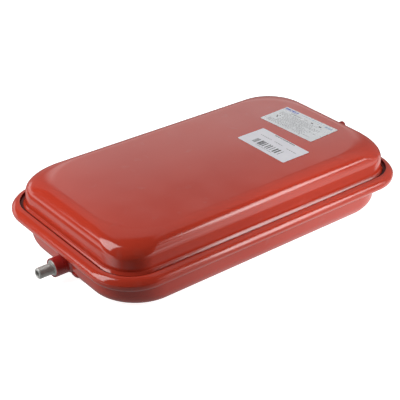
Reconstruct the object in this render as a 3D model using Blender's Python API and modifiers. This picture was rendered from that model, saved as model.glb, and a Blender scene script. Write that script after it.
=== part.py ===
"""Rectangular diaphragm expansion vessel for a heating boiler, as separate pieces.

Metres, +Z up. The vessel lies flat on its water half. The origin is the centre of its flat
base, +X runs along the length to the charging valve, and -X to the water nipple.
"""

import math

import bmesh
import bpy

MM = 0.001
GAP = 0.3 * MM                      # left between pieces that touch

# Rim: the clench ring's outer outline, which every other outline is inset from
RIM_LENGTH = 437 * MM
RIM_WIDTH = 250 * MM
RIM_CORNER = 51.7 * MM
RIM_BOTTOM = 36.6 * MM
RIM_TOP = 52.0 * MM
RIM_ROUND = 6.5 * MM
RIM_STEEL = 1.5 * MM
TOP_LIP_INSET = 9.5 * MM
BOTTOM_LIP_INSET = 11.3 * MM

# Pressed shells
SHELL_STEEL = 1.2 * MM
FLANGE_INSET = 5.3 * MM
TOTAL_HEIGHT = 85.1 * MM

GAS_WALL_INSET = 15.0 * MM
GAS_WALL_DRAFT = 0.6 * MM
GAS_WALL_CORNER = 39.3 * MM
GAS_FOOT_FILLET = 4.5 * MM
GAS_CROWN_ROUND = 20.2 * MM
GAS_PANEL_CORNER = 59.6 * MM

WATER_WALL_INSET = 15.0 * MM
WATER_WALL_CORNER = 54.4 * MM
WATER_FLANGE_FILLET = 3.0 * MM
BASE_ROUND_WIDTH = 15.6 * MM
BASE_ROUND_HEIGHT = 17.9 * MM
BASE_PANEL_CORNER = 52.7 * MM

# Diaphragm
RUBBER = 1.8 * MM
BEAD_RADIUS = 4.4 * MM
BEAD_INSET = 9.2 * MM
DIAPHRAGM_SIDE_GAP = 4.0 * MM
DIAPHRAGM_FLOOR_GAP = 0.6 * MM

# Water connection, on the axis of the -X end wall
PORT_HEIGHT = 17.7 * MM
BOSS_RADIUS = 11.0 * MM
BOSS_REACH = 17.9 * MM              # beyond the end wall
BOSS_DEPTH = 4.5 * MM               # inside the end wall
COLLAR_RADIUS = 9.0 * MM
COLLAR_DEPTH = 8.0 * MM
NIPPLE_RADIUS = 13.157 / 2 * MM     # major diameter of a G1/4 pipe thread
NIPPLE_REACH = 36.5 * MM
NIPPLE_BORE = 3.5 * MM
BOSS_BORE = 5.0 * MM

# Charging valve, square to the +X end wall
VALVE_HEIGHT = 59.0 * MM
STEM_RADIUS = 3.85 * MM             # 8V1 valve thread
STEM_REACH = 20.0 * MM
STEM_HEAD_RADIUS = 6.5 * MM
STEM_BORE = 2.2 * MM
CORE_BORE = 2.7 * MM
NUT_ACROSS_FLATS = 11.0 * MM
CAP_RADIUS = 5.2 * MM
CAP_TOP = 22.6 * MM
SPRING_TURNS = 7

# Labels on the top panel: size along X and Y, centre, turn about +Z
LABEL_FILM = 0.2 * MM
RATING_LABEL = (49.2 * MM, 87.2 * MM, 143.9 * MM, -0.2 * MM, math.radians(2.9))
BARCODE_LABEL = (42.8 * MM, 81.4 * MM, 79.6 * MM, -23.4 * MM, math.radians(0.3))

# Fineness of the facets
CORNER_STEPS = 9
ROUND_STEPS = 7
FILLET_STEPS = 4
TURNED_STEPS = 32

# Heights in the clamped stack, from the rim's own
WATER_FLANGE_BOTTOM = RIM_BOTTOM + RIM_STEEL + GAP
WATER_FLANGE_TOP = WATER_FLANGE_BOTTOM + SHELL_STEEL
GAS_FLANGE_TOP = RIM_TOP - RIM_STEEL - GAP
GAS_FLANGE_BOTTOM = GAS_FLANGE_TOP - SHELL_STEEL
BEAD_HEIGHT = (WATER_FLANGE_TOP + GAS_FLANGE_BOTTOM) / 2


# ---------------------------------------------------------------- scene and materials

def clear_scene():
    for obj in list(bpy.data.objects):
        bpy.data.objects.remove(obj, do_unlink=True)


def new_collection(name):
    collection = bpy.data.collections.new(name)
    bpy.context.scene.collection.children.link(collection)
    return collection


def new_material(name, colour, roughness, metallic=0.0):
    material = bpy.data.materials.new(name)
    material.use_nodes = True
    shader = material.node_tree.nodes["Principled BSDF"]
    shader.inputs["Base Color"].default_value = (*colour, 1.0)
    shader.inputs["Roughness"].default_value = roughness
    shader.inputs["Metallic"].default_value = metallic
    material.diffuse_color = (*colour, 1.0)
    return material


def new_object(name, data, collection, material=None, parent=None):
    obj = bpy.data.objects.new(name, data)
    if material:
        data.materials.append(material)
    if parent:
        obj.parent = parent
    collection.objects.link(obj)
    return obj


def new_axis(name, collection, location, turn_about_y):
    """An empty whose local +Z is the axis that its children are turned about."""
    axis = bpy.data.objects.new(name, None)
    axis.location = location
    axis.rotation_euler = (0.0, turn_about_y, 0.0)
    collection.objects.link(axis)
    return axis


# ---------------------------------------------------------------- modelling helpers

def outline(inset, corner, z):
    """Points of a rounded rectangle, inset from the rim's outline, anticlockwise from above."""
    reach_x = RIM_LENGTH / 2 - inset - corner
    reach_y = RIM_WIDTH / 2 - inset - corner
    points = []
    for quarter, (side_x, side_y) in enumerate(((1, 1), (-1, 1), (-1, -1), (1, -1))):
        for step in range(CORNER_STEPS + 1):
            angle = math.radians(90) * (quarter + step / CORNER_STEPS)
            x = side_x * reach_x + corner * math.cos(angle)
            y = side_y * reach_y + corner * math.sin(angle)
            points.append((x, y, z))
    return points


def arc(steps, start=0.0, end=90.0):
    """Angles from start to end degrees, in radians."""
    return [math.radians(start + (end - start) * step / steps) for step in range(steps + 1)]


def loft(name, sections, cap_first=False, cap_last=False):
    """A surface through outlines (inset, corner radius, height), from the lowest to the highest."""
    bm = bmesh.new()
    rings = []
    for section in sections:
        rings.append([bm.verts.new(point) for point in outline(*section)])
    for lower, upper in zip(rings, rings[1:]):
        count = len(lower)
        for i in range(count):
            j = (i + 1) % count
            bm.faces.new((lower[i], lower[j], upper[j], upper[i]))
    if cap_first:
        bm.faces.new(list(reversed(rings[0])))
    if cap_last:
        bm.faces.new(rings[-1])
    mesh = bpy.data.meshes.new(name)
    bm.to_mesh(mesh)
    bm.free()
    mesh.shade_smooth()
    return mesh


def solidify(obj, thickness):
    modifier = obj.modifiers.new("thickness", "SOLIDIFY")
    modifier.thickness = thickness
    modifier.offset = -1.0
    modifier.use_even_offset = True


def boolean(obj, other, operation="DIFFERENCE"):
    modifier = obj.modifiers.new(operation.lower(), "BOOLEAN")
    modifier.object = other
    modifier.operation = operation
    modifier.solver = "EXACT"


def turned(name, profile, collection, material, parent, closed=True, steps=TURNED_STEPS):
    """A profile of (radius, height) points turned about the parent's +Z.

    The profile runs down the outer side. A closed one leaves a bore, and an open one starts and
    ends on the axis.
    """
    bm = bmesh.new()
    verts = [bm.verts.new((radius, 0.0, height)) for radius, height in profile]
    for first, second in zip(verts, verts[1:]):
        bm.edges.new((first, second))
    if closed:
        bm.edges.new((verts[-1], verts[0]))
    mesh = bpy.data.meshes.new(name)
    bm.to_mesh(mesh)
    bm.free()
    obj = new_object(name, mesh, collection, material, parent)
    screw = obj.modifiers.new("turn", "SCREW")
    screw.axis = "Z"
    screw.angle = math.radians(360)
    screw.steps = steps
    screw.render_steps = steps
    screw.use_merge_vertices = True
    screw.merge_threshold = 0.00001
    screw.use_smooth_shade = True
    return obj


def cylinder_cutter(name, collection, parent, radius, bottom, top):
    bm = bmesh.new()
    bmesh.ops.create_cone(bm, cap_ends=True, segments=48, radius1=radius, radius2=radius,
                          depth=top - bottom)
    bmesh.ops.translate(bm, verts=bm.verts, vec=(0.0, 0.0, (top + bottom) / 2))
    return as_cutter(name, bm, collection, parent)


def box_cutter(name, collection, parent, low, high):
    bm = bmesh.new()
    bmesh.ops.create_cube(bm, size=1.0)
    size = [b - a for a, b in zip(low, high)]
    centre = [(a + b) / 2 for a, b in zip(low, high)]
    bmesh.ops.scale(bm, verts=bm.verts, vec=size)
    bmesh.ops.translate(bm, verts=bm.verts, vec=centre)
    return as_cutter(name, bm, collection, parent)


def as_cutter(name, bm, collection, parent):
    mesh = bpy.data.meshes.new(name)
    bm.to_mesh(mesh)
    bm.free()
    cutter = new_object(name, mesh, collection, parent=parent)
    cutter.hide_render = True
    cutter.display_type = "WIRE"
    return cutter


# ---------------------------------------------------------------- pressure shell

def gas_shell_sections():
    """From the flange's edge, round the foot, up the wall and over the crown to the top panel."""
    foot_inset = GAS_WALL_INSET - GAS_FOOT_FILLET
    foot_height = GAS_FLANGE_TOP + GAS_FOOT_FILLET
    sections = [(FLANGE_INSET, RIM_CORNER - FLANGE_INSET, GAS_FLANGE_TOP)]
    for angle in arc(FILLET_STEPS):
        inset = foot_inset + GAS_FOOT_FILLET * math.sin(angle)
        height = foot_height - GAS_FOOT_FILLET * math.cos(angle)
        sections.append((inset, GAS_WALL_CORNER + GAS_WALL_INSET - inset, height))
    shoulder_inset = GAS_WALL_INSET + GAS_WALL_DRAFT
    shoulder_height = TOTAL_HEIGHT - GAS_CROWN_ROUND
    for angle in arc(ROUND_STEPS):
        inset = shoulder_inset + GAS_CROWN_ROUND * (1 - math.cos(angle))
        corner = GAS_WALL_CORNER + (GAS_PANEL_CORNER - GAS_WALL_CORNER) * (1 - math.cos(angle))
        height = shoulder_height + GAS_CROWN_ROUND * math.sin(angle)
        sections.append((inset, corner, height))
    return sections


def make_gas_shell(collection, material, valve_hole):
    mesh = loft("gas_shell", gas_shell_sections(), cap_last=True)
    shell = new_object("gas_shell", mesh, collection, material)
    solidify(shell, SHELL_STEEL)
    boolean(shell, valve_hole)


def water_shell_sections():
    """From the base panel, round the bottom edge and up the wall to the flange's edge."""
    sections = []
    for angle in arc(ROUND_STEPS):
        inset = WATER_WALL_INSET + BASE_ROUND_WIDTH * (1 - math.sin(angle))
        corner = BASE_PANEL_CORNER + (WATER_WALL_CORNER - BASE_PANEL_CORNER) * math.sin(angle)
        sections.append((inset, corner, BASE_ROUND_HEIGHT * (1 - math.cos(angle))))
    fillet_inset = WATER_WALL_INSET - WATER_FLANGE_FILLET
    fillet_height = WATER_FLANGE_BOTTOM - WATER_FLANGE_FILLET
    for angle in arc(FILLET_STEPS):
        inset = fillet_inset + WATER_FLANGE_FILLET * math.cos(angle)
        height = fillet_height + WATER_FLANGE_FILLET * math.sin(angle)
        sections.append((inset, WATER_WALL_CORNER + WATER_WALL_INSET - inset, height))
    sections.append((FLANGE_INSET, RIM_CORNER - FLANGE_INSET, WATER_FLANGE_BOTTOM))
    return sections


def make_water_shell(collection, material, port_hole):
    mesh = loft("water_shell", water_shell_sections(), cap_first=True)
    shell = new_object("water_shell", mesh, collection, material)
    solidify(shell, SHELL_STEEL)
    boolean(shell, port_hole)


def make_clench_ring(collection, material):
    """C section round both flanges: bottom lip, rounded outer side, top lip."""
    sections = [(BOTTOM_LIP_INSET, RIM_CORNER - BOTTOM_LIP_INSET, RIM_BOTTOM)]
    for angle in arc(ROUND_STEPS):
        inset = RIM_ROUND * (1 - math.sin(angle))
        height = RIM_BOTTOM + RIM_ROUND * (1 - math.cos(angle))
        sections.append((inset, RIM_CORNER - inset, height))
    for angle in arc(ROUND_STEPS):
        inset = RIM_ROUND * (1 - math.cos(angle))
        height = RIM_TOP - RIM_ROUND * (1 - math.sin(angle))
        sections.append((inset, RIM_CORNER - inset, height))
    sections.append((TOP_LIP_INSET, RIM_CORNER - TOP_LIP_INSET, RIM_TOP))
    mesh = loft("clench_ring", sections)
    ring = new_object("clench_ring", mesh, collection, material)
    solidify(ring, RIM_STEEL)


def diaphragm_sections():
    """The membrane's water side: its panel on the base, its skirt, and its edge in the bead."""
    wall_inset = WATER_WALL_INSET + SHELL_STEEL + DIAPHRAGM_SIDE_GAP
    wall_corner = WATER_WALL_CORNER - (wall_inset - WATER_WALL_INSET)
    floor = SHELL_STEEL + DIAPHRAGM_FLOOR_GAP
    round_width = WATER_WALL_INSET + BASE_ROUND_WIDTH - wall_inset
    round_height = BASE_ROUND_HEIGHT - floor
    sections = []
    for angle in arc(ROUND_STEPS):
        inset = wall_inset + round_width * (1 - math.sin(angle))
        corner = BASE_PANEL_CORNER + (wall_corner - BASE_PANEL_CORNER) * math.sin(angle)
        sections.append((inset, corner, floor + round_height * (1 - math.cos(angle))))
    turn_inset = WATER_WALL_INSET - WATER_FLANGE_FILLET
    turn_height = WATER_FLANGE_BOTTOM - WATER_FLANGE_FILLET
    turn_radius = wall_inset - turn_inset
    for angle in arc(FILLET_STEPS):
        inset = turn_inset + turn_radius * math.cos(angle)
        sections.append((inset, wall_corner + wall_inset - inset,
                         turn_height + turn_radius * math.sin(angle)))
    edge_inset = BEAD_INSET + BEAD_RADIUS / 3
    sections.append((edge_inset, RIM_CORNER - edge_inset, turn_height + turn_radius))
    return sections


def make_bead(collection):
    """The round bead at the membrane's edge, as a mesh that a Boolean can join."""
    curve = bpy.data.curves.new("bead", "CURVE")
    curve.dimensions = "3D"
    curve.bevel_depth = BEAD_RADIUS
    curve.bevel_resolution = 2
    spline = curve.splines.new("POLY")
    points = outline(BEAD_INSET, RIM_CORNER - BEAD_INSET, BEAD_HEIGHT)
    spline.points.add(len(points) - 1)
    for point, place in zip(spline.points, points):
        point.co = (*place, 1.0)
    spline.use_cyclic_u = True
    source = new_object("bead_curve", curve, collection)
    evaluated = source.evaluated_get(bpy.context.evaluated_depsgraph_get())
    mesh = bpy.data.meshes.new_from_object(evaluated)
    bm = bmesh.new()
    bm.from_mesh(mesh)
    bmesh.ops.remove_doubles(bm, verts=bm.verts, dist=0.00001)
    bm.to_mesh(mesh)
    bm.free()
    bead = new_object("bead", mesh, collection)
    bead.matrix_world = source.matrix_world
    bead.hide_render = True
    bead.display_type = "WIRE"
    bpy.data.objects.remove(source)
    return bead


def make_diaphragm(collection, material, bead):
    mesh = loft("diaphragm", diaphragm_sections(), cap_first=True)
    membrane = new_object("diaphragm", mesh, collection, material)
    solidify(membrane, RUBBER)
    boolean(membrane, bead, "UNION")


# ---------------------------------------------------------------- water connection

def make_connection_boss(collection, material, port):
    chamfer = 0.6 * MM
    seat_radius = COLLAR_RADIUS + GAP
    seat_floor = BOSS_REACH - COLLAR_DEPTH
    profile = [
        (BOSS_RADIUS - chamfer, BOSS_REACH),
        (BOSS_RADIUS, BOSS_REACH - chamfer),
        (BOSS_RADIUS, -BOSS_DEPTH),
        (BOSS_BORE, -BOSS_DEPTH),
        (BOSS_BORE, seat_floor),
        (seat_radius, seat_floor),
        (seat_radius, BOSS_REACH),
    ]
    turned("connection_boss", profile, collection, material, port)


def make_water_nipple(collection, material, port):
    lead = 1.3 * MM
    edge = 0.4 * MM
    undercut_radius = 5.75 * MM
    undercut_top = BOSS_REACH + 1.9 * MM
    collar_top = BOSS_REACH + GAP
    collar_bottom = BOSS_REACH - COLLAR_DEPTH + GAP
    profile = [
        (NIPPLE_RADIUS - lead, NIPPLE_REACH),
        (NIPPLE_RADIUS, NIPPLE_REACH - lead),
        (NIPPLE_RADIUS, undercut_top + NIPPLE_RADIUS - undercut_radius),
        (undercut_radius, undercut_top),
        (undercut_radius, collar_top),
        (COLLAR_RADIUS - edge, collar_top),
        (COLLAR_RADIUS, collar_top - edge),
        (COLLAR_RADIUS, collar_bottom),
        (NIPPLE_BORE, collar_bottom),
        (NIPPLE_BORE, NIPPLE_REACH - edge),
        (NIPPLE_BORE + edge, NIPPLE_REACH),
    ]
    turned("water_nipple", profile, collection, material, port)


# ---------------------------------------------------------------- charging valve
# Heights here are distances out from the outer face of the end wall, along the valve's axis.

def make_valve_stem(collection, material, valve):
    chamfer = 0.5 * MM
    head_top = -SHELL_STEEL - 2.3 * MM
    head_bottom = head_top - 2.5 * MM
    seat_top = 12.0 * MM
    seat_bottom = 11.0 * MM
    profile = [
        (STEM_RADIUS - chamfer, STEM_REACH),
        (STEM_RADIUS, STEM_REACH - chamfer),
        (STEM_RADIUS, head_top),
        (STEM_HEAD_RADIUS, head_top),
        (STEM_HEAD_RADIUS, head_bottom),
        (STEM_BORE, head_bottom),
        (STEM_BORE, seat_bottom),
        (CORE_BORE, seat_top),
        (CORE_BORE, STEM_REACH),
    ]
    turned("valve_stem", profile, collection, material, valve)


def ring_profile(outer, inner, bottom, top):
    return [(outer, top), (outer, bottom), (inner, bottom), (inner, top)]


def make_valve_gasket(collection, material, valve):
    top = -SHELL_STEEL - GAP
    profile = ring_profile(6.0 * MM, STEM_RADIUS + GAP, top - 1.7 * MM, top)
    turned("valve_gasket", profile, collection, material, valve)


def make_valve_washer(collection, material, valve):
    profile = ring_profile(5.7 * MM, STEM_RADIUS + GAP, GAP, GAP + 1.2 * MM)
    turned("valve_washer", profile, collection, material, valve)


def make_valve_nut(collection, cutters, material, valve):
    bottom = 1.8 * MM
    height = 4.5 * MM
    corner_radius = NUT_ACROSS_FLATS / 2 / math.cos(math.radians(30))
    bm = bmesh.new()
    bmesh.ops.create_cone(bm, cap_ends=True, segments=6, radius1=corner_radius,
                          radius2=corner_radius, depth=height)
    bmesh.ops.translate(bm, verts=bm.verts, vec=(0.0, 0.0, bottom + height / 2))
    mesh = bpy.data.meshes.new("valve_nut")
    bm.to_mesh(mesh)
    bm.free()
    nut = new_object("valve_nut", mesh, collection, material, valve)
    nut.rotation_euler = (0.0, 0.0, math.radians(30))
    bevel = nut.modifiers.new("edges", "BEVEL")
    bevel.width = 0.3 * MM
    bevel.segments = 1
    bore = cylinder_cutter("nut_bore", cutters, valve, STEM_RADIUS + GAP, 0.0, 10 * MM)
    boolean(nut, bore)


def make_core_plug(collection, cutters, material, valve):
    """Threaded head of the core, with two flats at its mouth for the core key."""
    top = 18.8 * MM
    radius = CORE_BORE - GAP
    flats_bottom = 17.2 * MM
    flat_distance = 1.3 * MM
    plug = turned("core_plug", ring_profile(radius, 0.95 * MM, 14.0 * MM, top), collection,
                  material, valve)
    for side, name in ((-1, "left"), (1, "right")):
        near = side * flat_distance
        far = side * 2 * radius
        low = (min(near, far), -2 * radius, flats_bottom)
        high = (max(near, far), 2 * radius, 2 * top)
        boolean(plug, box_cutter("core_flat_" + name, cutters, valve, low, high))


def make_core_gasket(collection, material, valve):
    profile = [
        (2.35 * MM, 13.6 * MM),
        (2.35 * MM, 12.4 * MM),
        (2.05 * MM, 11.5 * MM),
        (1.75 * MM, 11.5 * MM),
        (1.75 * MM, 13.6 * MM),
    ]
    turned("core_gasket", profile, collection, material, valve)


BARREL_BOTTOM = 4.6 * MM
LEDGE = 5.6 * MM
PIN_RADIUS = 0.55 * MM
PIN_COLLAR = 12.4 * MM


def make_core_barrel(collection, material, valve):
    outer = 1.5 * MM
    bore = 1.2 * MM
    throat = 0.85 * MM
    top = 13.7 * MM
    profile = [
        (outer, top),
        (outer, BARREL_BOTTOM),
        (throat, BARREL_BOTTOM),
        (throat, LEDGE),
        (bore, LEDGE),
        (bore, top),
    ]
    turned("core_barrel", profile, collection, material, valve)


def make_core_pin(collection, material, valve):
    tip = 19.2 * MM
    collar_radius = 0.95 * MM
    collar_top = PIN_COLLAR + 0.6 * MM
    head_radius = 1.1 * MM
    head_bottom = 2.3 * MM
    head_top = 2.8 * MM
    profile = [
        (0.0, tip),
        (PIN_RADIUS, tip),
        (PIN_RADIUS, collar_top),
        (collar_radius, collar_top),
        (collar_radius, PIN_COLLAR),
        (PIN_RADIUS, PIN_COLLAR),
        (PIN_RADIUS, head_top),
        (head_radius, head_top),
        (head_radius, head_bottom),
        (0.0, head_bottom),
    ]
    turned("core_pin", profile, collection, material, valve, closed=False, steps=20)


def make_core_cup(collection, material, valve):
    profile = ring_profile(1.45 * MM, PIN_RADIUS + 0.2 * MM, 3.1 * MM, BARREL_BOTTOM - GAP)
    turned("core_cup", profile, collection, material, valve, steps=24)


def make_core_spring(collection, material, valve):
    """Compression coil between the barrel's ledge and the pin's collar."""
    wire = 0.14 * MM
    radius = 0.87 * MM
    points_per_turn = 12
    bottom = LEDGE + GAP + wire
    top = PIN_COLLAR - GAP - wire
    curve = bpy.data.curves.new("core_spring", "CURVE")
    curve.dimensions = "3D"
    curve.bevel_depth = wire
    curve.bevel_resolution = 2
    curve.use_fill_caps = True
    spline = curve.splines.new("POLY")
    count = SPRING_TURNS * points_per_turn
    spline.points.add(count)
    for step, point in enumerate(spline.points):
        angle = math.radians(360) * step / points_per_turn
        height = bottom + (top - bottom) * step / count
        point.co = (radius * math.cos(angle), radius * math.sin(angle), height, 1.0)
    new_object("core_spring", curve, collection, material, valve)


CAP_INNER_TOP = 21.2 * MM


def make_valve_cap(collection, material, valve):
    bottom = 7.6 * MM
    edge = 0.6 * MM
    bore = STEM_RADIUS + GAP
    profile = [
        (0.0, CAP_TOP),
        (CAP_RADIUS - edge, CAP_TOP),
        (CAP_RADIUS, CAP_TOP - edge),
        (CAP_RADIUS, bottom),
        (bore, bottom),
        (bore, CAP_INNER_TOP),
        (0.0, CAP_INNER_TOP),
    ]
    turned("valve_cap", profile, collection, material, valve, closed=False)


def make_cap_seal(collection, material, valve):
    radius = STEM_RADIUS
    bottom = STEM_REACH + GAP
    top = CAP_INNER_TOP - GAP
    profile = [(0.0, top), (radius, top), (radius, bottom), (0.0, bottom)]
    turned("cap_seal", profile, collection, material, valve, closed=False)


# ---------------------------------------------------------------- labels

def make_label(name, placement, collection, material):
    """A thin plate with rounded corners, lying on the top panel."""
    size_x, size_y, x, y, turn = placement
    bm = bmesh.new()
    bmesh.ops.create_cube(bm, size=1.0)
    bmesh.ops.scale(bm, verts=bm.verts, vec=(size_x, size_y, LABEL_FILM))
    upright = [edge for edge in bm.edges if abs(edge.verts[0].co.z - edge.verts[1].co.z) > 0]
    bmesh.ops.bevel(bm, geom=upright, offset=1.5 * MM, segments=3, affect="EDGES", profile=0.5)
    mesh = bpy.data.meshes.new(name)
    bm.to_mesh(mesh)
    bm.free()
    label = new_object(name, mesh, collection, material)
    label.location = (x, y, TOTAL_HEIGHT + GAP + LABEL_FILM / 2)
    label.rotation_euler = (0.0, 0.0, turn)


# ---------------------------------------------------------------- assembly

def build():
    clear_scene()
    vessel = new_collection("expansion_vessel")
    cutters = new_collection("cutters")

    enamel = new_material("red_enamel", (0.50, 0.040, 0.022), 0.25)
    ring_enamel = new_material("rim_enamel", (0.52, 0.042, 0.024), 0.25)
    water_enamel = new_material("water_half_enamel", (0.48, 0.040, 0.024), 0.27)
    boss_enamel = new_material("boss_enamel", (0.42, 0.025, 0.018), 0.35)
    zinc = new_material("zinc_plate", (0.62, 0.62, 0.60), 0.32, 1.0)
    washer_steel = new_material("washer_steel", (0.55, 0.55, 0.56), 0.35, 1.0)
    brass = new_material("stem_brass", (0.72, 0.52, 0.22), 0.30, 1.0)
    nut_brass = new_material("nut_brass", (0.70, 0.50, 0.22), 0.32, 1.0)
    core_brass = new_material("core_brass", (0.74, 0.55, 0.26), 0.30, 1.0)
    barrel_brass = new_material("barrel_brass", (0.70, 0.50, 0.24), 0.32, 1.0)
    pin_steel = new_material("pin_steel", (0.70, 0.70, 0.70), 0.25, 1.0)
    spring_steel = new_material("spring_steel", (0.60, 0.60, 0.62), 0.25, 1.0)
    black_rubber = new_material("diaphragm_rubber", (0.022, 0.022, 0.022), 0.75)
    gasket_rubber = new_material("gasket_rubber", (0.020, 0.020, 0.020), 0.70)
    seat_plastic = new_material("core_gasket_plastic", (0.60, 0.10, 0.08), 0.45)
    cup_rubber = new_material("cup_rubber", (0.030, 0.030, 0.030), 0.65)
    seal_rubber = new_material("cap_seal_rubber", (0.025, 0.025, 0.025), 0.70)
    cap_plastic = new_material("cap_plastic", (0.33, 0.03, 0.025), 0.42)
    silver_film = new_material("silver_film", (0.62, 0.62, 0.64), 0.40)
    white_paper = new_material("white_paper", (0.78, 0.78, 0.80), 0.60)

    end_wall = -(RIM_LENGTH / 2 - WATER_WALL_INSET)
    port = new_axis("port_axis", vessel, (end_wall, 0.0, PORT_HEIGHT), math.radians(-90))

    wall_foot = GAS_FLANGE_TOP + GAS_FOOT_FILLET
    wall_rise = TOTAL_HEIGHT - GAS_CROWN_ROUND - wall_foot
    draft_angle = math.atan2(GAS_WALL_DRAFT, wall_rise)
    valve_inset = GAS_WALL_INSET + (VALVE_HEIGHT - wall_foot) * math.tan(draft_angle)
    valve_place = (RIM_LENGTH / 2 - valve_inset, 0.0, VALVE_HEIGHT)
    valve = new_axis("valve_axis", vessel, valve_place, math.radians(90) - draft_angle)

    wall = 10 * MM
    port_hole = cylinder_cutter("port_hole", cutters, port, BOSS_RADIUS + GAP, -wall, wall)
    valve_hole = cylinder_cutter("valve_hole", cutters, valve, STEM_RADIUS + GAP, -wall, wall)

    make_gas_shell(vessel, enamel, valve_hole)
    make_water_shell(vessel, water_enamel, port_hole)
    make_clench_ring(vessel, ring_enamel)
    make_diaphragm(vessel, black_rubber, make_bead(cutters))

    make_connection_boss(vessel, boss_enamel, port)
    make_water_nipple(vessel, zinc, port)

    make_valve_stem(vessel, brass, valve)
    make_valve_gasket(vessel, gasket_rubber, valve)
    make_valve_washer(vessel, washer_steel, valve)
    make_valve_nut(vessel, cutters, nut_brass, valve)
    make_core_plug(vessel, cutters, core_brass, valve)
    make_core_gasket(vessel, seat_plastic, valve)
    make_core_barrel(vessel, barrel_brass, valve)
    make_core_pin(vessel, pin_steel, valve)
    make_core_cup(vessel, cup_rubber, valve)
    make_core_spring(vessel, spring_steel, valve)
    make_valve_cap(vessel, cap_plastic, valve)
    make_cap_seal(vessel, seal_rubber, valve)

    make_label("rating_label", RATING_LABEL, vessel, silver_film)
    make_label("barcode_label", BARCODE_LABEL, vessel, white_paper)


build()
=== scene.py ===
"""Looks of the flat expansion vessel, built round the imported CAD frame.

Metres, +Z up. The vessel lies on its water half: -X is the water end, +X the charging valve's end.
"""

import math

import bmesh
import bpy
from mathutils import Matrix, Vector


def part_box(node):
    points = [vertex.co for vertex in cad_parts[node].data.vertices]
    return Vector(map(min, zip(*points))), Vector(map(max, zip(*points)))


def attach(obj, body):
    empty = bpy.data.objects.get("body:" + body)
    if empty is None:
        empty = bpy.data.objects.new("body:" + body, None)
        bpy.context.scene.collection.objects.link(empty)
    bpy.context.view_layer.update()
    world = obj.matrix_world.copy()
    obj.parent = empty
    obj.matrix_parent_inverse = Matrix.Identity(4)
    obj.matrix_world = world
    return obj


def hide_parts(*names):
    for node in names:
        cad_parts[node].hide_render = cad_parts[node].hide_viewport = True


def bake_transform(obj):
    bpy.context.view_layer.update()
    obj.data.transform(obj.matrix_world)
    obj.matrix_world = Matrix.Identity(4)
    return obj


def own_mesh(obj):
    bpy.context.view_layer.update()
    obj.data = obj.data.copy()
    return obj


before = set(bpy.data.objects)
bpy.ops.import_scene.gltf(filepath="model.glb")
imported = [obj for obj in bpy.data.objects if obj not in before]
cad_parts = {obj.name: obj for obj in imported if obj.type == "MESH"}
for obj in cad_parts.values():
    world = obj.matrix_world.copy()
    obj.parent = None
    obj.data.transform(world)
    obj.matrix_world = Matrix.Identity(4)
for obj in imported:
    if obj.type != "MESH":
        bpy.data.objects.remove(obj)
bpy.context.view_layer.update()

MM = 0.001

# Rim outline, which every outline below is inset from
RIM_LOW, RIM_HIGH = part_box("clench_ring")
RIM_LENGTH = RIM_HIGH.x - RIM_LOW.x
RIM_WIDTH = RIM_HIGH.y - RIM_LOW.y
RIM_CORNER = 51.7 * MM
RIM_BOTTOM = RIM_LOW.z
RIM_TOP = RIM_HIGH.z
RIM_ROUND = 6.5 * MM
RIM_STEEL = 1.5 * MM
TOP_LIP_INSET = 9.5 * MM
BOTTOM_LIP_INSET = 11.3 * MM

# Pressed shells
SHELL_STEEL = 1.2 * MM
FLANGE_INSET = 5.3 * MM
GAP = 0.3 * MM
WATER_FLANGE_BOTTOM = RIM_BOTTOM + RIM_STEEL + GAP
WATER_FLANGE_TOP = WATER_FLANGE_BOTTOM + SHELL_STEEL
GAS_FLANGE_TOP = RIM_TOP - RIM_STEEL - 1.2 * MM
GAS_FLANGE_BOTTOM = GAS_FLANGE_TOP - SHELL_STEEL
TOTAL_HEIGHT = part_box("gas_shell")[1].z

WALL_INSET = 15.0 * MM
GAS_WALL_DRAFT = 0.6 * MM
GAS_WALL_CORNER = 39.3 * MM
GAS_CROWN_ROUND = 20.2 * MM
GAS_PANEL_CORNER = 59.6 * MM
WATER_WALL_CORNER = 54.4 * MM
WATER_FLANGE_FILLET = 3.0 * MM
BASE_ROUND_WIDTH = 15.6 * MM
BASE_ROUND_HEIGHT = 17.9 * MM
BASE_PANEL_CORNER = 52.7 * MM

# Membrane
RUBBER = 1.8 * MM
BEAD_RADIUS = 3.9 * MM
BEAD_INSET = 9.2 * MM
BEAD_HEIGHT = (WATER_FLANGE_TOP + GAS_FLANGE_BOTTOM) / 2

# Water connection and charging valve: places, and reaches along their axes
PORT = Vector((-(RIM_LENGTH / 2 - WALL_INSET), 0.0, 17.7 * MM))
BOSS_RADIUS = 11.0 * MM
BOSS_REACH = 17.9 * MM
BOSS_BORE = 5.0 * MM
COLLAR_RADIUS = 9.0 * MM
COLLAR_DEPTH = 8.0 * MM
NIPPLE_RADIUS = 13.157 / 2 * MM
NIPPLE_REACH = 36.5 * MM
NIPPLE_BORE = 3.5 * MM
PIPE_PITCH = 1.337 * MM

VALVE_HEIGHT = 59.0 * MM
STEM_RADIUS = 3.85 * MM
STEM_REACH = 20.0 * MM
STEM_PITCH = 0.794 * MM

CAP_BOTTOM = 7.6 * MM
CAP_TOP = 22.6 * MM
NUT_BOTTOM = 1.8 * MM
NUT_TOP = 6.3 * MM

# Labels: size along X and Y, centre, turn about +Z
RATING_LABEL = ((49.2 * MM, 87.2 * MM), (143.9 * MM, -0.2 * MM), math.radians(2.9))
BARCODE_LABEL = ((42.8 * MM, 81.4 * MM), (79.6 * MM, -23.4 * MM), math.radians(0.3))

CORNER_STEPS = 28


# ---------------------------------------------------------------- mesh helpers

def new_piece(name, mesh, *materials):
    obj = bpy.data.objects.new(name, mesh)
    bpy.context.scene.collection.objects.link(obj)
    for material in materials:
        mesh.materials.append(material)
    return obj


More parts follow.
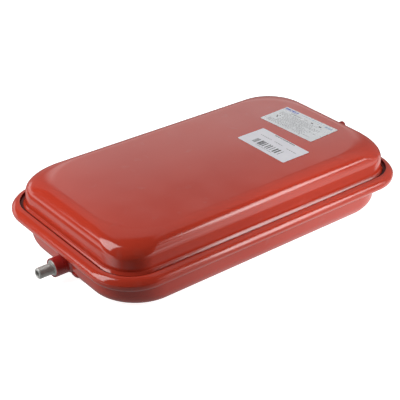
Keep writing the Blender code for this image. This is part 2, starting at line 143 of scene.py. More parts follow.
def mesh_from(name, verts, faces, smooth=True):
    mesh = bpy.data.meshes.new(name)
    mesh.from_pydata([tuple(v) for v in verts], [], faces)
    mesh.validate()
    mesh.update()
    if smooth:
        mesh.shade_smooth()
    return mesh


def apply_modifiers(obj):
    """Replaces the object's mesh with the one its modifiers make."""
    depsgraph = bpy.context.evaluated_depsgraph_get()
    mesh = bpy.data.meshes.new_from_object(obj.evaluated_get(depsgraph))
    obj.modifiers.clear()
    old = obj.data
    obj.data = mesh
    bpy.data.meshes.remove(old)
    return obj


def arc(steps, start=0.0, end=90.0):
    return [math.radians(start + (end - start) * step / steps) for step in range(steps + 1)]


def outline(inset, corner, z, steps=CORNER_STEPS):
    """Points of a rounded rectangle, inset from the rim's outline, anticlockwise from above."""
    reach_x = RIM_LENGTH / 2 - inset - corner
    reach_y = RIM_WIDTH / 2 - inset - corner
    points = []
    for quarter, (side_x, side_y) in enumerate(((1, 1), (-1, 1), (-1, -1), (1, -1))):
        for step in range(steps + 1):
            angle = math.radians(90) * (quarter + step / steps)
            points.append((side_x * reach_x + corner * math.cos(angle),
                           side_y * reach_y + corner * math.sin(angle), z))
    return points


def loft(name, sections, cap_first=False, cap_last=False, closed=False):
    """A surface through outlines (inset, corner, height); closed, its last joins its first."""
    rings = [outline(*section) for section in sections]
    count = len(rings[0])
    verts = [point for ring in rings for point in ring]
    faces = []
    pairs = list(range(len(rings) - 1)) + ([len(rings) - 1] if closed else [])
    for k in pairs:
        low, high = k * count, ((k + 1) % len(rings)) * count
        for i in range(count):
            j = (i + 1) % count
            faces.append((low + i, low + j, high + j, high + i))
    if cap_first:
        faces.append(tuple(reversed(range(count))))
    if cap_last:
        faces.append(tuple(range(len(verts) - count, len(verts))))
    return mesh_from(name, verts, faces)


def finish_sheet(obj, thickness, hole=None, edge=0.3 * MM):
    """Gives a pressed surface its thickness inwards, its hole, eased cut edges and even normals."""
    sheet = obj.modifiers.new("thickness", "SOLIDIFY")
    sheet.thickness = thickness
    sheet.offset = -1.0
    sheet.use_even_offset = True
    if hole is not None:
        cut = obj.modifiers.new("hole", "BOOLEAN")
        cut.object = hole
        cut.solver = "EXACT"
    ease = obj.modifiers.new("edges", "BEVEL")
    ease.width = edge
    ease.segments = 3
    ease.limit_method = "ANGLE"
    ease.angle_limit = math.radians(50)
    even = obj.modifiers.new("normals", "WEIGHTED_NORMAL")
    even.weight = 60
    even.keep_sharp = True
    apply_modifiers(obj)
    if hole is not None:
        bpy.data.objects.remove(hole)
    return obj


def axis_matrix(place, direction):
    """A matrix whose +Z is the direction, at the place."""
    turn = direction.to_track_quat("Z", "Y").to_matrix().to_4x4()
    return Matrix.Translation(place) @ turn


def cutter(matrix, radius, depth):
    bm = bmesh.new()
    bmesh.ops.create_cone(bm, cap_ends=True, segments=64, radius1=radius, radius2=radius,
                          depth=depth, matrix=matrix)
    mesh = bpy.data.meshes.new("cutter")
    bm.to_mesh(mesh)
    bm.free()
    obj = bpy.data.objects.new("cutter", mesh)
    bpy.context.scene.collection.objects.link(obj)
    obj.hide_render = True
    return obj


def turned(name, profile, matrix, radius_at=None, steps=72, closed=True):
    """A closed profile of (radius, height) turned about the matrix's +Z.

    radius_at(radius, height, angle) may change a point's radius, for threads and ribs.
    """
    verts, faces = [], []
    rows = len(profile)
    for step in range(steps):
        angle = math.radians(360) * step / steps
        for radius, height in profile:
            r = radius_at(radius, height, angle) if radius_at else radius
            verts.append(matrix @ Vector((r * math.cos(angle), r * math.sin(angle), height)))
    last = rows if closed else rows - 1
    for step in range(steps):
        here, there = step * rows, ((step + 1) % steps) * rows
        for k in range(last):
            n = (k + 1) % rows
            faces.append((here + k, here + n, there + n, there + k))
    mesh = mesh_from(name, verts, faces)
    bm = bmesh.new()
    bm.from_mesh(mesh)
    bmesh.ops.remove_doubles(bm, verts=bm.verts, dist=0.000001)
    bmesh.ops.recalc_face_normals(bm, faces=bm.faces)
    bm.to_mesh(mesh)
    bm.free()
    mesh.set_sharp_from_angle(angle=math.radians(38))
    return mesh


def with_rows(profile, first, second, count):
    """The profile with extra points between its points first and second."""
    (r0, h0), (r1, h1) = profile[first], profile[second]
    extra = [(r0 + (r1 - r0) * k / count, h0 + (h1 - h0) * k / count) for k in range(1, count)]
    return profile[:first + 1] + extra + profile[second:]


def rounded(points, radius, steps=4):
    """The closed profile with each corner rounded off."""
    out = []
    count = len(points)
    for k, point in enumerate(points):
        here = Vector(point)
        back = Vector(points[k - 1]) - here
        on = Vector(points[(k + 1) % count]) - here
        size = min(radius, back.length * 0.45, on.length * 0.45)
        start, end = here + back.normalized() * size, here + on.normalized() * size
        for step in range(steps + 1):
            t = step / steps
            out.append(tuple(start * (1 - t) ** 2 + here * 2 * t * (1 - t) + end * t ** 2))
    return out


# ---------------------------------------------------------------- material helpers

class Paint:
    """A Principled material, with the few nodes that its pattern needs."""

    def __init__(self, name, roughness=0.4, metallic=0.0, ior=1.5):
        self.material = bpy.data.materials.new(name)
        self.material.use_nodes = True
        self.nodes = self.material.node_tree.nodes
        self.links = self.material.node_tree.links
        self.shader = self.nodes["Principled BSDF"]
        self.shader.inputs["Roughness"].default_value = roughness
        self.shader.inputs["Metallic"].default_value = metallic
        self.shader.inputs["IOR"].default_value = ior
        self.place = self.nodes.new("ShaderNodeTexCoord").outputs["Object"]
        self.normal = None

    def set(self, socket, value):
        self.shader.inputs[socket].default_value = value
        return self

    def stretched(self, scale):
        mapping = self.nodes.new("ShaderNodeMapping")
        mapping.inputs["Scale"].default_value = scale
        self.links.new(self.place, mapping.inputs["Vector"])
        return mapping.outputs["Vector"]

    def noise(self, scale, detail=3.0, roughness=0.5, place=None):
        node = self.nodes.new("ShaderNodeTexNoise")
        node.inputs["Scale"].default_value = scale
        node.inputs["Detail"].default_value = detail
        node.inputs["Roughness"].default_value = roughness
        self.links.new(place or self.place, node.inputs["Vector"])
        return node.outputs["Fac"]

    def cells(self, scale):
        node = self.nodes.new("ShaderNodeTexVoronoi")
        node.inputs["Scale"].default_value = scale
        self.links.new(self.place, node.inputs["Vector"])
        return node.outputs["Distance"]

    def height(self):
        split = self.nodes.new("ShaderNodeSeparateXYZ")
        self.links.new(self.place, split.inputs["Vector"])
        return split.outputs["Z"]

    def ramp(self, value, low, high, first, last):
        """Turns a value from low to high into one from first to last, or between two colours."""
        if isinstance(first, tuple):
            node = self.nodes.new("ShaderNodeValToRGB")
            node.color_ramp.elements[0].position = low
            node.color_ramp.elements[1].position = high
            node.color_ramp.elements[0].color = (*first, 1.0)
            node.color_ramp.elements[1].color = (*last, 1.0)
            self.links.new(value, node.inputs["Fac"])
            return node.outputs["Color"]
        node = self.nodes.new("ShaderNodeMapRange")
        for socket, number in (("From Min", low), ("From Max", high), ("To Min", first),
                               ("To Max", last)):
            node.inputs[socket].default_value = number
        self.links.new(value, node.inputs["Value"])
        return node.outputs["Result"]

    def mix(self, factor, first, second):
        node = self.nodes.new("ShaderNodeMix")
        node.data_type = "RGBA"
        self.links.new(factor, node.inputs["Factor"])
        for socket, colour in ((node.inputs[6], first), (node.inputs[7], second)):
            if isinstance(colour, tuple):
                socket.default_value = (*colour, 1.0)
            else:
                self.links.new(colour, socket)
        return node.outputs[2]

    def colour(self, source):
        self.links.new(source, self.shader.inputs["Base Color"])
        return self

    def rough(self, source):
        self.links.new(source, self.shader.inputs["Roughness"])
        return self

    def bump(self, height, distance, strength=1.0):
        node = self.nodes.new("ShaderNodeBump")
        node.inputs["Strength"].default_value = strength
        node.inputs["Distance"].default_value = distance
        self.links.new(height, node.inputs["Height"])
        if self.normal:
            self.links.new(self.normal, node.inputs["Normal"])
        self.normal = node.outputs["Normal"]
        self.links.new(self.normal, self.shader.inputs["Normal"])
        return self


def enamel(name, light, dark, roughness=0.11, painted_shade_heights=None):
    """Stoved gloss enamel on pressed steel: faint sheet waviness, orange peel and dust.

    Below painted_shade_heights the colour is painted dark and the reflection dimmed, as painted
    shade of the slit between the foot and the rim's lip; between the two heights it fades back to
    the plain coat.
    """
    paint = Paint(name, roughness, ior=1.75)
    broad = paint.noise(9.0, 2.0)
    speck = paint.ramp(paint.cells(260.0), 0.02, 0.10, (1.0, 1.0, 1.0), (0.0, 0.0, 0.0))
    coat = paint.ramp(broad, 0.3, 0.7, dark, light)
    dust = paint.mix(paint.ramp(paint.noise(60.0, 4.0), 0.62, 0.80, 0.0, 0.10), coat,
                     (0.45, 0.22, 0.19))
    coat = paint.mix(paint.ramp(speck, 0.0, 1.0, 0.0, 0.10), dust, (0.30, 0.03, 0.02))
    # Painted shade: below these heights the coat turns dark and its specular level drops, standing
    # in for the shadowed slit above the rim's lip.
    if painted_shade_heights:
        clear = paint.ramp(paint.height(), *painted_shade_heights, 0.0, 1.0)
        coat = paint.mix(clear, (0.09, 0.011, 0.009), coat)
        paint.links.new(paint.ramp(clear, 0.0, 1.0, 0.05, 0.5),
                        paint.shader.inputs["Specular IOR Level"])
    paint.colour(coat)
    paint.rough(paint.ramp(paint.noise(34.0, 4.0), 0.3, 0.7, roughness * 0.75, roughness * 1.35))
    paint.bump(paint.noise(8.0, 1.0), 0.35 * MM, 1.0)
    paint.bump(paint.noise(330.0, 2.0), 0.05 * MM, 0.14)
    return paint.material


def metal(name, light, dark, roughness, grain=900.0, metallic=1.0):
    """Plated or turned metal: mottled tone, fine grain and uneven polish."""
    paint = Paint(name, roughness, metallic)
    paint.colour(paint.ramp(paint.noise(160.0, 5.0, 0.6), 0.3, 0.7, dark, light))
    paint.rough(paint.ramp(paint.noise(420.0, 4.0), 0.3, 0.7, roughness * 0.7, roughness * 1.4))
    paint.bump(paint.noise(grain, 3.0), 0.04 * MM, 0.35)
    return paint.material


def rubber(name, tone=0.022):
    paint = Paint(name, 0.72)
    paint.colour(paint.ramp(paint.noise(120.0, 5.0), 0.3, 0.75, (tone * 0.7,) * 3,
                            (tone * 1.8,) * 3))
    paint.rough(paint.ramp(paint.noise(300.0, 3.0), 0.3, 0.7, 0.6, 0.85))
    paint.bump(paint.noise(1400.0, 2.0), 0.05 * MM, 0.5)
    return paint.material


def plastic(name, light, dark, roughness=0.42):
    paint = Paint(name, roughness)
    paint.colour(paint.ramp(paint.noise(220.0, 4.0), 0.3, 0.7, dark, light))
    paint.rough(paint.ramp(paint.noise(500.0, 3.0), 0.3, 0.7, roughness * 0.8, roughness * 1.25))
    paint.bump(paint.noise(1600.0, 2.0), 0.03 * MM, 0.4)
    return paint.material


def film(name, light, dark, roughness, metallic, fibre):
    """Printed label stock: fine fibre, or a brushed silver film."""
    paint = Paint(name, roughness, metallic)
    paint.colour(paint.ramp(paint.noise(190.0, 5.0, 0.6, paint.stretched((1.0, 0.25, 1.0))),
                            0.3, 0.7, dark, light))
    paint.rough(paint.ramp(paint.noise(90.0, 3.0), 0.3, 0.7, roughness * 0.85, roughness * 1.15))
    paint.bump(paint.noise(700.0, 2.0), 0.02 * MM, fibre)
    return paint.material


def ink(name, light, dark):
    paint = Paint(name, 0.5)
    paint.colour(paint.ramp(paint.noise(900.0, 3.0), 0.3, 0.7, dark, light))
    paint.rough(paint.ramp(paint.noise(500.0, 2.0), 0.3, 0.7, 0.42, 0.6))
    return paint.material


# gas_red carries a band of painted shade just under the rim's top, for the dark slit at the rim's
# lip.
GAS_RED = enamel("gas_red", (0.585, 0.050, 0.023), (0.545, 0.043, 0.021),
                 painted_shade_heights=(RIM_TOP - 2.7 * MM, RIM_TOP - 1.9 * MM))
WATER_RED = enamel("water_red", (0.575, 0.048, 0.023), (0.530, 0.041, 0.021), 0.13)
RIM_RED = enamel("rim_red", (0.590, 0.051, 0.023), (0.550, 0.044, 0.021))
# The boss and its weld get a darker, duller copy of the shells' red enamel: painted shade of the
# boss in the shadow under the rim.
BOSS_RED_PAINTED_SHADE = enamel("boss_red", (0.42, 0.026, 0.022), (0.33, 0.019, 0.018), 0.24)
ZINC = metal("zinc", (0.62, 0.62, 0.59), (0.48, 0.48, 0.46), 0.42, metallic=0.55)
WASHER_STEEL = metal("washer_metal", (0.58, 0.58, 0.59), (0.45, 0.45, 0.46), 0.34)
STEM_BRASS = metal("stem_metal", (0.74, 0.54, 0.24), (0.60, 0.42, 0.18), 0.30)
NUT_BRASS = metal("nut_metal", (0.72, 0.53, 0.25), (0.58, 0.41, 0.18), 0.32)
CORE_BRASS = metal("core_metal", (0.76, 0.57, 0.28), (0.64, 0.46, 0.21), 0.28)
PIN_STEEL = metal("pin_metal", (0.72, 0.72, 0.72), (0.58, 0.58, 0.58), 0.25)
SPRING_STEEL = metal("spring_metal", (0.62, 0.62, 0.64), (0.50, 0.50, 0.52), 0.25)
MEMBRANE_RUBBER = rubber("membrane_black")
SEAL_RUBBER = rubber("seal_black", 0.02)
SEAT_PLASTIC = plastic("seat_red", (0.62, 0.11, 0.08), (0.52, 0.08, 0.06))
CAP_PLASTIC = plastic("cap_red", (0.46, 0.050, 0.042), (0.38, 0.040, 0.034), 0.55)
SILVER_FILM = film("label_silver", (0.92, 0.94, 0.96), (0.86, 0.88, 0.90), 0.30, 0.50, 0.08)
WHITE_PAPER = film("label_white", (0.95, 0.94, 0.99), (0.91, 0.90, 0.96), 0.34, 0.38, 0.16)
GREY_INK = ink("ink_grey", (0.38, 0.38, 0.39), (0.31, 0.31, 0.32))
BLACK_INK = ink("ink_black", (0.05, 0.05, 0.05), (0.03, 0.03, 0.03))
BLUE_INK = ink("ink_blue", (0.12, 0.16, 0.62), (0.09, 0.12, 0.52))
PALE_INK = ink("ink_pale", (0.42, 0.56, 0.72), (0.36, 0.48, 0.66))


# ---------------------------------------------------------------- pressed shells and rim

def bends(turns):
    """Points (run, fall) down a section, from turns of (radius, first slope, last slope, steps).

    The slope is that of the surface's normal above level, in degrees.
    """
    run = fall = 0.0
    points = [(run, fall)]
    for radius, first, last, steps in turns:
        start = math.radians(first)
        for slope in arc(steps, first, last)[1:]:
            points.append((run + radius * abs(math.cos(slope) - math.cos(start)),
                           fall + radius * abs(math.sin(slope) - math.sin(start))))
        run, fall = points[-1]
    return points


def make_gas_half():
    """The foot turns out in a broad slant, and its flange runs under the rim's lip."""
    foot = bends(((2.2 * MM, 0, 32, 6), (22.0 * MM, 32, 41, 6), (1.0 * MM, 41, 90, 6)))
    foot_height = GAS_FLANGE_TOP + foot[-1][1]
    sections = [(FLANGE_INSET, RIM_CORNER - FLANGE_INSET, GAS_FLANGE_TOP)]
    for run, fall in reversed(foot):
        inset = WALL_INSET - run
        sections.append((inset, GAS_WALL_CORNER + run, foot_height - fall))
    shoulder = WALL_INSET + GAS_WALL_DRAFT
    for angle in arc(26):
        flat = 1 - math.cos(angle)
        sections.append((shoulder + GAS_CROWN_ROUND * flat,
                         GAS_WALL_CORNER + (GAS_PANEL_CORNER - GAS_WALL_CORNER) * flat,
                         TOTAL_HEIGHT - GAS_CROWN_ROUND * (1 - math.sin(angle))))
    panel = sections[-1][0]
    for step in (1.0, 4.0, 12.0, 28.0, 50.0):
        sections.append((panel + step * MM, max(GAS_PANEL_CORNER - step * MM, 8 * MM),
                         TOTAL_HEIGHT))
    half = new_piece("gas_half", loft("gas_half", sections, cap_last=True), GAS_RED)
    return finish_sheet(half, SHELL_STEEL,
                        cutter(VALVE_AXIS, STEM_RADIUS + GAP, 20 * MM))


def make_water_half():
    sections = []
    for step in (50.0, 28.0, 12.0, 4.0, 1.0):
        sections.append((WALL_INSET + BASE_ROUND_WIDTH + step * MM,
                         max(BASE_PANEL_CORNER - step * MM, 8 * MM), 0.0))
    for angle in arc(24):
        sections.append((WALL_INSET + BASE_ROUND_WIDTH * (1 - math.sin(angle)),
                         BASE_PANEL_CORNER
                         + (WATER_WALL_CORNER - BASE_PANEL_CORNER) * math.sin(angle),
                         BASE_ROUND_HEIGHT * (1 - math.cos(angle))))
    fillet_inset = WALL_INSET - WATER_FLANGE_FILLET
    fillet_height = WATER_FLANGE_BOTTOM - WATER_FLANGE_FILLET
    for angle in arc(8):
        inset = fillet_inset + WATER_FLANGE_FILLET * math.cos(angle)
        sections.append((inset, WATER_WALL_CORNER + WALL_INSET - inset,
                         fillet_height + WATER_FLANGE_FILLET * math.sin(angle)))
    sections.append((FLANGE_INSET, RIM_CORNER - FLANGE_INSET, WATER_FLANGE_BOTTOM))
    half = new_piece("water_half", loft("water_half", sections, cap_first=True), WATER_RED)
    return finish_sheet(half, SHELL_STEEL, cutter(PORT_AXIS, BOSS_RADIUS + GAP, 24 * MM))


def make_rim():
    """C section closed round both flanges, with its rolled outer side and eased lips."""
    sections = [(BOTTOM_LIP_INSET, RIM_CORNER - BOTTOM_LIP_INSET, RIM_BOTTOM)]
    for angle in arc(16):
        inset = RIM_ROUND * (1 - math.sin(angle))
        sections.append((inset, RIM_CORNER - inset,
                         RIM_BOTTOM + RIM_ROUND * (1 - math.cos(angle))))
    shoulder = bends(((10.8 * MM, 84, 40, 10), (22.0 * MM, 40, 32, 6), (2.2 * MM, 32, 0, 8)))
    for run, fall in reversed(shoulder):
        inset = shoulder[-1][0] - run
        sections.append((inset, RIM_CORNER - inset, RIM_TOP - fall))
    sections.append((TOP_LIP_INSET, RIM_CORNER - TOP_LIP_INSET, RIM_TOP))
    rim = new_piece("rolled_rim", loft("rolled_rim", sections), RIM_RED)
    return finish_sheet(rim, RIM_STEEL, edge=0.45 * MM)


# ---------------------------------------------------------------- membrane

def make_membrane():
    """The rubber bag: its bead in the rim, its skirt and its floor on the water half's base."""
    side = WALL_INSET + SHELL_STEEL + 4.0 * MM
    side_corner = WATER_WALL_CORNER - (side - WALL_INSET)
    floor = SHELL_STEEL + 0.6 * MM
    round_width = WALL_INSET + BASE_ROUND_WIDTH - side
    round_height = BASE_ROUND_HEIGHT - floor
    outer = []
    for angle in arc(14):
        outer.append((side - round_width * (math.sin(angle) - 1),
                      BASE_PANEL_CORNER + (side_corner - BASE_PANEL_CORNER) * math.sin(angle),
                      floor + round_height * (1 - math.cos(angle))))
    turn_inset = WALL_INSET - WATER_FLANGE_FILLET
    turn_height = WATER_FLANGE_BOTTOM - WATER_FLANGE_FILLET
    turn_radius = side - turn_inset
    for rise in (0.35, 0.7):
        outer.append((side, side_corner, BASE_ROUND_HEIGHT
                      + (turn_height - BASE_ROUND_HEIGHT) * rise))
    for angle in arc(10):
        inset = turn_inset + turn_radius * math.cos(angle)
        outer.append((inset, side_corner + side - inset,
                      turn_height + turn_radius * math.sin(angle)))
    edge = BEAD_INSET + BEAD_RADIUS * 0.4
    outer.append((edge, RIM_CORNER - edge, turn_height + turn_radius))
    bag = new_piece("rubber_membrane", loft("rubber_membrane", outer, cap_first=True),
                    MEMBRANE_RUBBER)
    sheet = bag.modifiers.new("thickness", "SOLIDIFY")
    sheet.thickness = RUBBER
    sheet.offset = -1.0
    sheet.use_even_offset = True
    apply_modifiers(bag)
    bead = loft("bead", [(BEAD_INSET + BEAD_RADIUS * math.cos(a),
                          RIM_CORNER - BEAD_INSET - BEAD_RADIUS * math.cos(a),
                          BEAD_HEIGHT + BEAD_RADIUS * math.sin(a))
                         for a in arc(16, 360, 22.5)], closed=True)
    bm = bmesh.new()
    bm.from_mesh(bag.data)
    bm.from_mesh(bead)
    bmesh.ops.recalc_face_normals(bm, faces=bm.faces)
    bm.to_mesh(bag.data)
    bm.free()
    bpy.data.meshes.remove(bead)
    bag.data.shade_smooth()
    return bag


# ---------------------------------------------------------------- water connection

PORT_AXIS = axis_matrix(PORT, Vector((-1.0, 0.0, 0.0)))
WELD_LUMP = Vector((0.0, -14.5, -9.6)) * MM


def wall_depth(z):
    """How far the water half's end wall lies inside its widest line, at height z."""
    if z >= BASE_ROUND_HEIGHT:
        return 0.0
    angle = math.acos(max(-1.0, min(1.0, 1 - z / BASE_ROUND_HEIGHT)))
    return BASE_ROUND_WIDTH * (1 - math.sin(angle))


def make_boss():
    profile = rounded([
        (BOSS_RADIUS, BOSS_REACH),
        (BOSS_RADIUS, -4.5 * MM),
        (BOSS_BORE, -4.5 * MM),
        (BOSS_BORE, BOSS_REACH - COLLAR_DEPTH),
        (COLLAR_RADIUS + GAP, BOSS_REACH - COLLAR_DEPTH),
        (COLLAR_RADIUS + GAP, BOSS_REACH),
    ], 0.5 * MM)
    mesh = turned("welded_boss", profile, PORT_AXIS, steps=96)
    verts, faces = [], []
    around, across = 120, 9
    for step in range(around):
        angle = math.radians(360) * step / around
        ripple = 0.22 * MM * math.sin(17 * angle) + 0.18 * MM * math.sin(5 * angle + 1.0)
        ring = []
        for k in range(across):
            t = k / (across - 1)
            reach = BOSS_RADIUS - 0.4 * MM + (3.6 * MM + ripple) * t
            y = reach * math.cos(angle)
            z = PORT.z + reach * math.sin(angle)
            rise = (2.6 * MM + ripple) * (1 - t) ** 1.7 + 0.35 * MM * math.sin(math.pi * t)
            sink = 0.5 * MM if t == 1.0 else 0.0
            ring.append(Vector((PORT.x + wall_depth(z) - rise + sink, y, z)))
        low = ring[-1] + Vector((0.8 * MM, 0.0, 0.0))
        high = ring[0] + Vector((4.0 * MM, 0.0, 0.0))
        verts += ring + [low, high]
    rows = across + 2
    for step in range(around):
        here, there = step * rows, ((step + 1) % around) * rows
        for k in range(rows):
            n = (k + 1) % rows
            faces.append((here + k, here + n, there + n, there + k))
    lump, rounds = len(verts), 16
    for row in range(rounds // 2 + 1):
        tilt = math.radians(180) * row / (rounds // 2)
        for step in range(rounds):
            angle = math.radians(360) * step / rounds
            y = WELD_LUMP.y + 6.5 * MM * math.sin(tilt) * math.cos(angle)
            z = PORT.z + WELD_LUMP.z + 3.8 * MM * math.sin(tilt) * math.sin(angle)
            verts.append(Vector((PORT.x + wall_depth(z) - 2.4 * MM * math.cos(tilt), y, z)))
    for row in range(rounds // 2):
        for step in range(rounds):
            here, there = lump + row * rounds, lump + (row + 1) * rounds
            after = (step + 1) % rounds
            faces.append((here + step, here + after, there + after, there + step))
    weld = mesh_from("weld", verts, faces)
    bm = bmesh.new()
    bm.from_mesh(mesh)
    bm.from_mesh(weld)
    bmesh.ops.recalc_face_normals(bm, faces=bm.faces)
    bm.to_mesh(mesh)
    bm.free()
    bpy.data.meshes.remove(weld)
    mesh.set_sharp_from_angle(angle=math.radians(38))
    return new_piece("welded_boss", mesh, BOSS_RED_PAINTED_SHADE)


def thread(first, last, pitch, depth, crest):
    """radius_at for a screw thread between two heights, faded out at both ends."""
    def radius_at(radius, height, angle):
        if radius < crest * 0.9 or not first < height < last:
            return radius
        turn = (height / pitch + angle / math.radians(360)) % 1.0
        groove = min(1.0, max(0.0, 2.6 * abs(turn - 0.5) - 0.15))
        fade = min(1.0, (height - first) / (pitch * 1.2), (last - height) / (pitch * 0.8))
        return radius - depth * (1.0 - groove) * max(0.0, fade)
    return radius_at


def make_nipple():
    lead = 1.2 * MM
    neck = 5.75 * MM
    neck_top = BOSS_REACH + 1.9 * MM
    collar_top = BOSS_REACH + GAP
    collar_bottom = BOSS_REACH - COLLAR_DEPTH + GAP
    profile = [
        (NIPPLE_BORE + 0.4 * MM, NIPPLE_REACH),
        (NIPPLE_RADIUS - lead, NIPPLE_REACH),
        (NIPPLE_RADIUS, NIPPLE_REACH - lead),
        (NIPPLE_RADIUS, neck_top + 0.85 * MM),
        (neck, neck_top),
        (neck, collar_top + 0.3 * MM),
        (neck + 0.3 * MM, collar_top),
        (COLLAR_RADIUS - 0.5 * MM, collar_top),
        (COLLAR_RADIUS, collar_top - 0.5 * MM),
        (COLLAR_RADIUS, collar_bottom),
        (NIPPLE_BORE, collar_bottom),
        (NIPPLE_BORE, NIPPLE_REACH - 0.4 * MM),
    ]
    rows = round((NIPPLE_REACH - lead - neck_top) / PIPE_PITCH * 8)
    profile = with_rows(profile, 2, 3, rows)
    helix = thread(neck_top + 0.85 * MM, NIPPLE_REACH - lead * 0.6, PIPE_PITCH, 0.36 * MM,
                   NIPPLE_RADIUS)
    mesh = turned("threaded_nipple", profile, PORT_AXIS, helix, 72)
    return new_piece("threaded_nipple", mesh, ZINC)


# ---------------------------------------------------------------- charging valve

WALL_FOOT = RIM_TOP + 2.7 * MM
DRAFT = math.atan2(GAS_WALL_DRAFT, TOTAL_HEIGHT - GAS_CROWN_ROUND - WALL_FOOT)
VALVE_PLACE = Vector((RIM_LENGTH / 2 - WALL_INSET - (VALVE_HEIGHT - WALL_FOOT) * math.tan(DRAFT),
                      0.0, VALVE_HEIGHT))
VALVE_AXIS = axis_matrix(VALVE_PLACE, Vector((math.cos(DRAFT), 0.0, math.sin(DRAFT))))


def make_stem():
    head_top = -SHELL_STEEL - 2.3 * MM
    head_bottom = head_top - 2.5 * MM
    profile = [
        (2.7 * MM, STEM_REACH),
        (STEM_RADIUS - 0.5 * MM, STEM_REACH),
        (STEM_RADIUS, STEM_REACH - 0.5 * MM),
        (STEM_RADIUS, head_top),
        (6.2 * MM, head_top),
        (6.5 * MM, head_top - 0.3 * MM),
        (6.5 * MM, head_bottom),
        (2.2 * MM, head_bottom),
        (2.2 * MM, 11.0 * MM),
        (2.7 * MM, 12.0 * MM),
    ]
    rows = round((STEM_REACH - head_top) / STEM_PITCH * 7)
    profile = with_rows(profile, 2, 3, rows)
    helix = thread(-SHELL_STEEL, STEM_REACH - 0.3 * MM, STEM_PITCH, 0.42 * MM, STEM_RADIUS)
    mesh = turned("threaded_stem", profile, VALVE_AXIS, helix, 56)
    return new_piece("threaded_stem", mesh, STEM_BRASS)


def make_washer():
    profile = rounded([
        (5.7 * MM, GAP + 1.2 * MM),
        (5.7 * MM, GAP),
        (STEM_RADIUS + GAP, GAP),
        (STEM_RADIUS + GAP, GAP + 1.2 * MM),
    ], 0.25 * MM)
    return new_piece("round_washer", turned("round_washer", profile, VALVE_AXIS), WASHER_STEEL)


def make_nut():
    """Hexagon nut with its corners chamfered at both faces."""
    bottom, top = NUT_BOTTOM, NUT_TOP
    flats = 5.5 * MM
    bore = STEM_RADIUS + GAP
    chamfer_radius = flats * 1.02
    levels = []
    steps = 96
    verts, faces = [], []
    for height, limit in ((bottom, chamfer_radius), (bottom + 0.35 * MM, 9 * MM),
                          (top - 0.35 * MM, 9 * MM), (top, chamfer_radius)):
        level = []
        for step in range(steps):
            angle = math.radians(360) * step / steps
            fold = (angle + math.radians(30)) % math.radians(60) - math.radians(30)
            reach = min(flats / math.cos(fold), limit)
            level.append(len(verts))
            verts.append(VALVE_AXIS @ Vector((reach * math.cos(angle + math.radians(30)),
                                              reach * math.sin(angle + math.radians(30)),
                                              height)))
        levels.append(level)
    for radius, height in ((bore + 0.3 * MM, top), (bore, top - 0.3 * MM),
                           (bore, bottom + 0.3 * MM), (bore + 0.3 * MM, bottom)):
        level = []
        for step in range(steps):
            angle = math.radians(360) * step / steps + math.radians(30)
            level.append(len(verts))
            verts.append(VALVE_AXIS @ Vector((radius * math.cos(angle),
                                              radius * math.sin(angle), height)))
        levels.append(level)
    for k, level in enumerate(levels):
        following = levels[(k + 1) % len(levels)]
        for i in range(steps):
            j = (i + 1) % steps
            faces.append((level[i], level[j], following[j], following[i]))
    mesh = mesh_from("hex_nut", verts, faces)
    bm = bmesh.new()
    bm.from_mesh(mesh)
    bmesh.ops.recalc_face_normals(bm, faces=bm.faces)
    bm.to_mesh(mesh)
    bm.free()
    mesh.set_sharp_from_angle(angle=math.radians(25))
    return new_piece("hex_nut", mesh, NUT_BRASS)


def make_cap():
    """Dust cap with a ribbed grip."""
    bottom, top = CAP_BOTTOM, CAP_TOP
    outer = 5.2 * MM
    bore = STEM_RADIUS + GAP
    profile = [
        (0.0, top),
        (outer - 1.3 * MM, top - 0.05 * MM),
        (outer - 0.6 * MM, top - 0.3 * MM),
        (outer - 0.15 * MM, top - 0.9 * MM),
        (outer, top - 1.6 * MM),
        (outer, bottom + 2.2 * MM),
        (outer - 0.1 * MM, bottom + 1.8 * MM),
        (outer - 0.1 * MM, bottom + 0.3 * MM),
        (outer - 0.4 * MM, bottom),
        (bore + 0.2 * MM, bottom),
        (bore, bottom + 0.2 * MM),
        (bore, 21.2 * MM),
        (0.0, 21.2 * MM),
    ]
    profile = with_rows(profile, 4, 5, 6)

    def ribs(radius, height, angle):
        if radius < outer - 0.2 * MM or not bottom + 2.0 * MM < height < top - 0.8 * MM:
            return radius
        return radius - 0.28 * MM * (0.5 - 0.5 * math.cos(28 * angle)) ** 2

    mesh = turned("ribbed_cap", profile, VALVE_AXIS, ribs, 28 * 8, closed=False)
    return new_piece("ribbed_cap", mesh, CAP_PLASTIC)


def make_spring():
    """Compression coil with closed ends, as a tube mesh."""
    wire, radius = 0.14 * MM, 0.87 * MM
    bottom = 5.6 * MM + GAP + wire
    top = 12.4 * MM - GAP - wire
    turns, per_turn, sides = 7, 28, 10
    count = turns * per_turn
    verts, faces = [], []
    for step in range(count + 1):
        angle = math.radians(360) * step / per_turn
        height = bottom + (top - bottom) * step / count
        out = Vector((math.cos(angle), math.sin(angle), 0.0))
        up = Vector((0.0, 0.0, 1.0))
        for side in range(sides):
            turn = math.radians(360) * side / sides
            offset = out * (wire * math.cos(turn)) + up * (wire * math.sin(turn))
            verts.append(VALVE_AXIS @ (out * radius + up * height + offset))
    for step in range(count):
        for side in range(sides):
            other = (side + 1) % sides
            here, there = step * sides, (step + 1) * sides
            faces.append((here + side, here + other, there + other, there + side))
    faces.append(tuple(reversed(range(sides))))
    faces.append(tuple(range(count * sides, (count + 1) * sides)))
    mesh = mesh_from("coil_spring", verts, faces)
    return new_piece("coil_spring", mesh, SPRING_STEEL)


# ---------------------------------------------------------------- labels

def hashed(*numbers):
    """A repeatable number from 0 to 1."""
    value = math.sin(sum(n * k for n, k in zip(numbers, (12.9898, 78.233, 37.719)))) * 43758.5453
    return value - math.floor(value)


